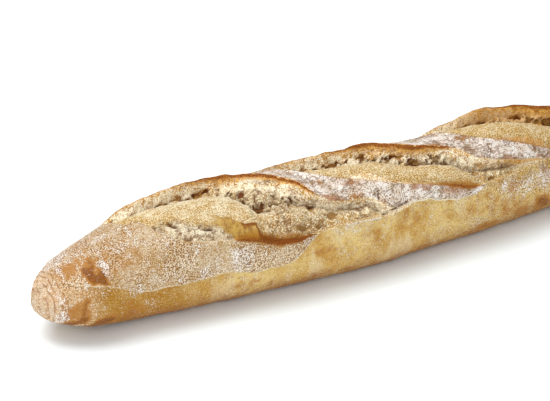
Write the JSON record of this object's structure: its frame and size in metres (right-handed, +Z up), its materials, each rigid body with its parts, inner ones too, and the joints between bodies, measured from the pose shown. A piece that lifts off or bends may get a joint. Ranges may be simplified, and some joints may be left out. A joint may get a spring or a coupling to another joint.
{
  "type": "baguette",
  "caption": "Long crusty baguette with slanting scores, each with a raised ear of crust along one side, rounded noses and a flat underside.",
  "frame": {"origin": "middle of the bounding box's underside, on the flat underside of the loaf", "axes": "+X along the loaf from its near nose to its far nose, +Z up, and the scores open towards -Y"},
  "size_m": [0.6, 0.0678, 0.0526],
  "materials": {
    "crust": "matte baked crust, golden brown with flour"
  },
  "bodies": {
    "root": {"baguette": "crust"}
  },
  "joints": []
}
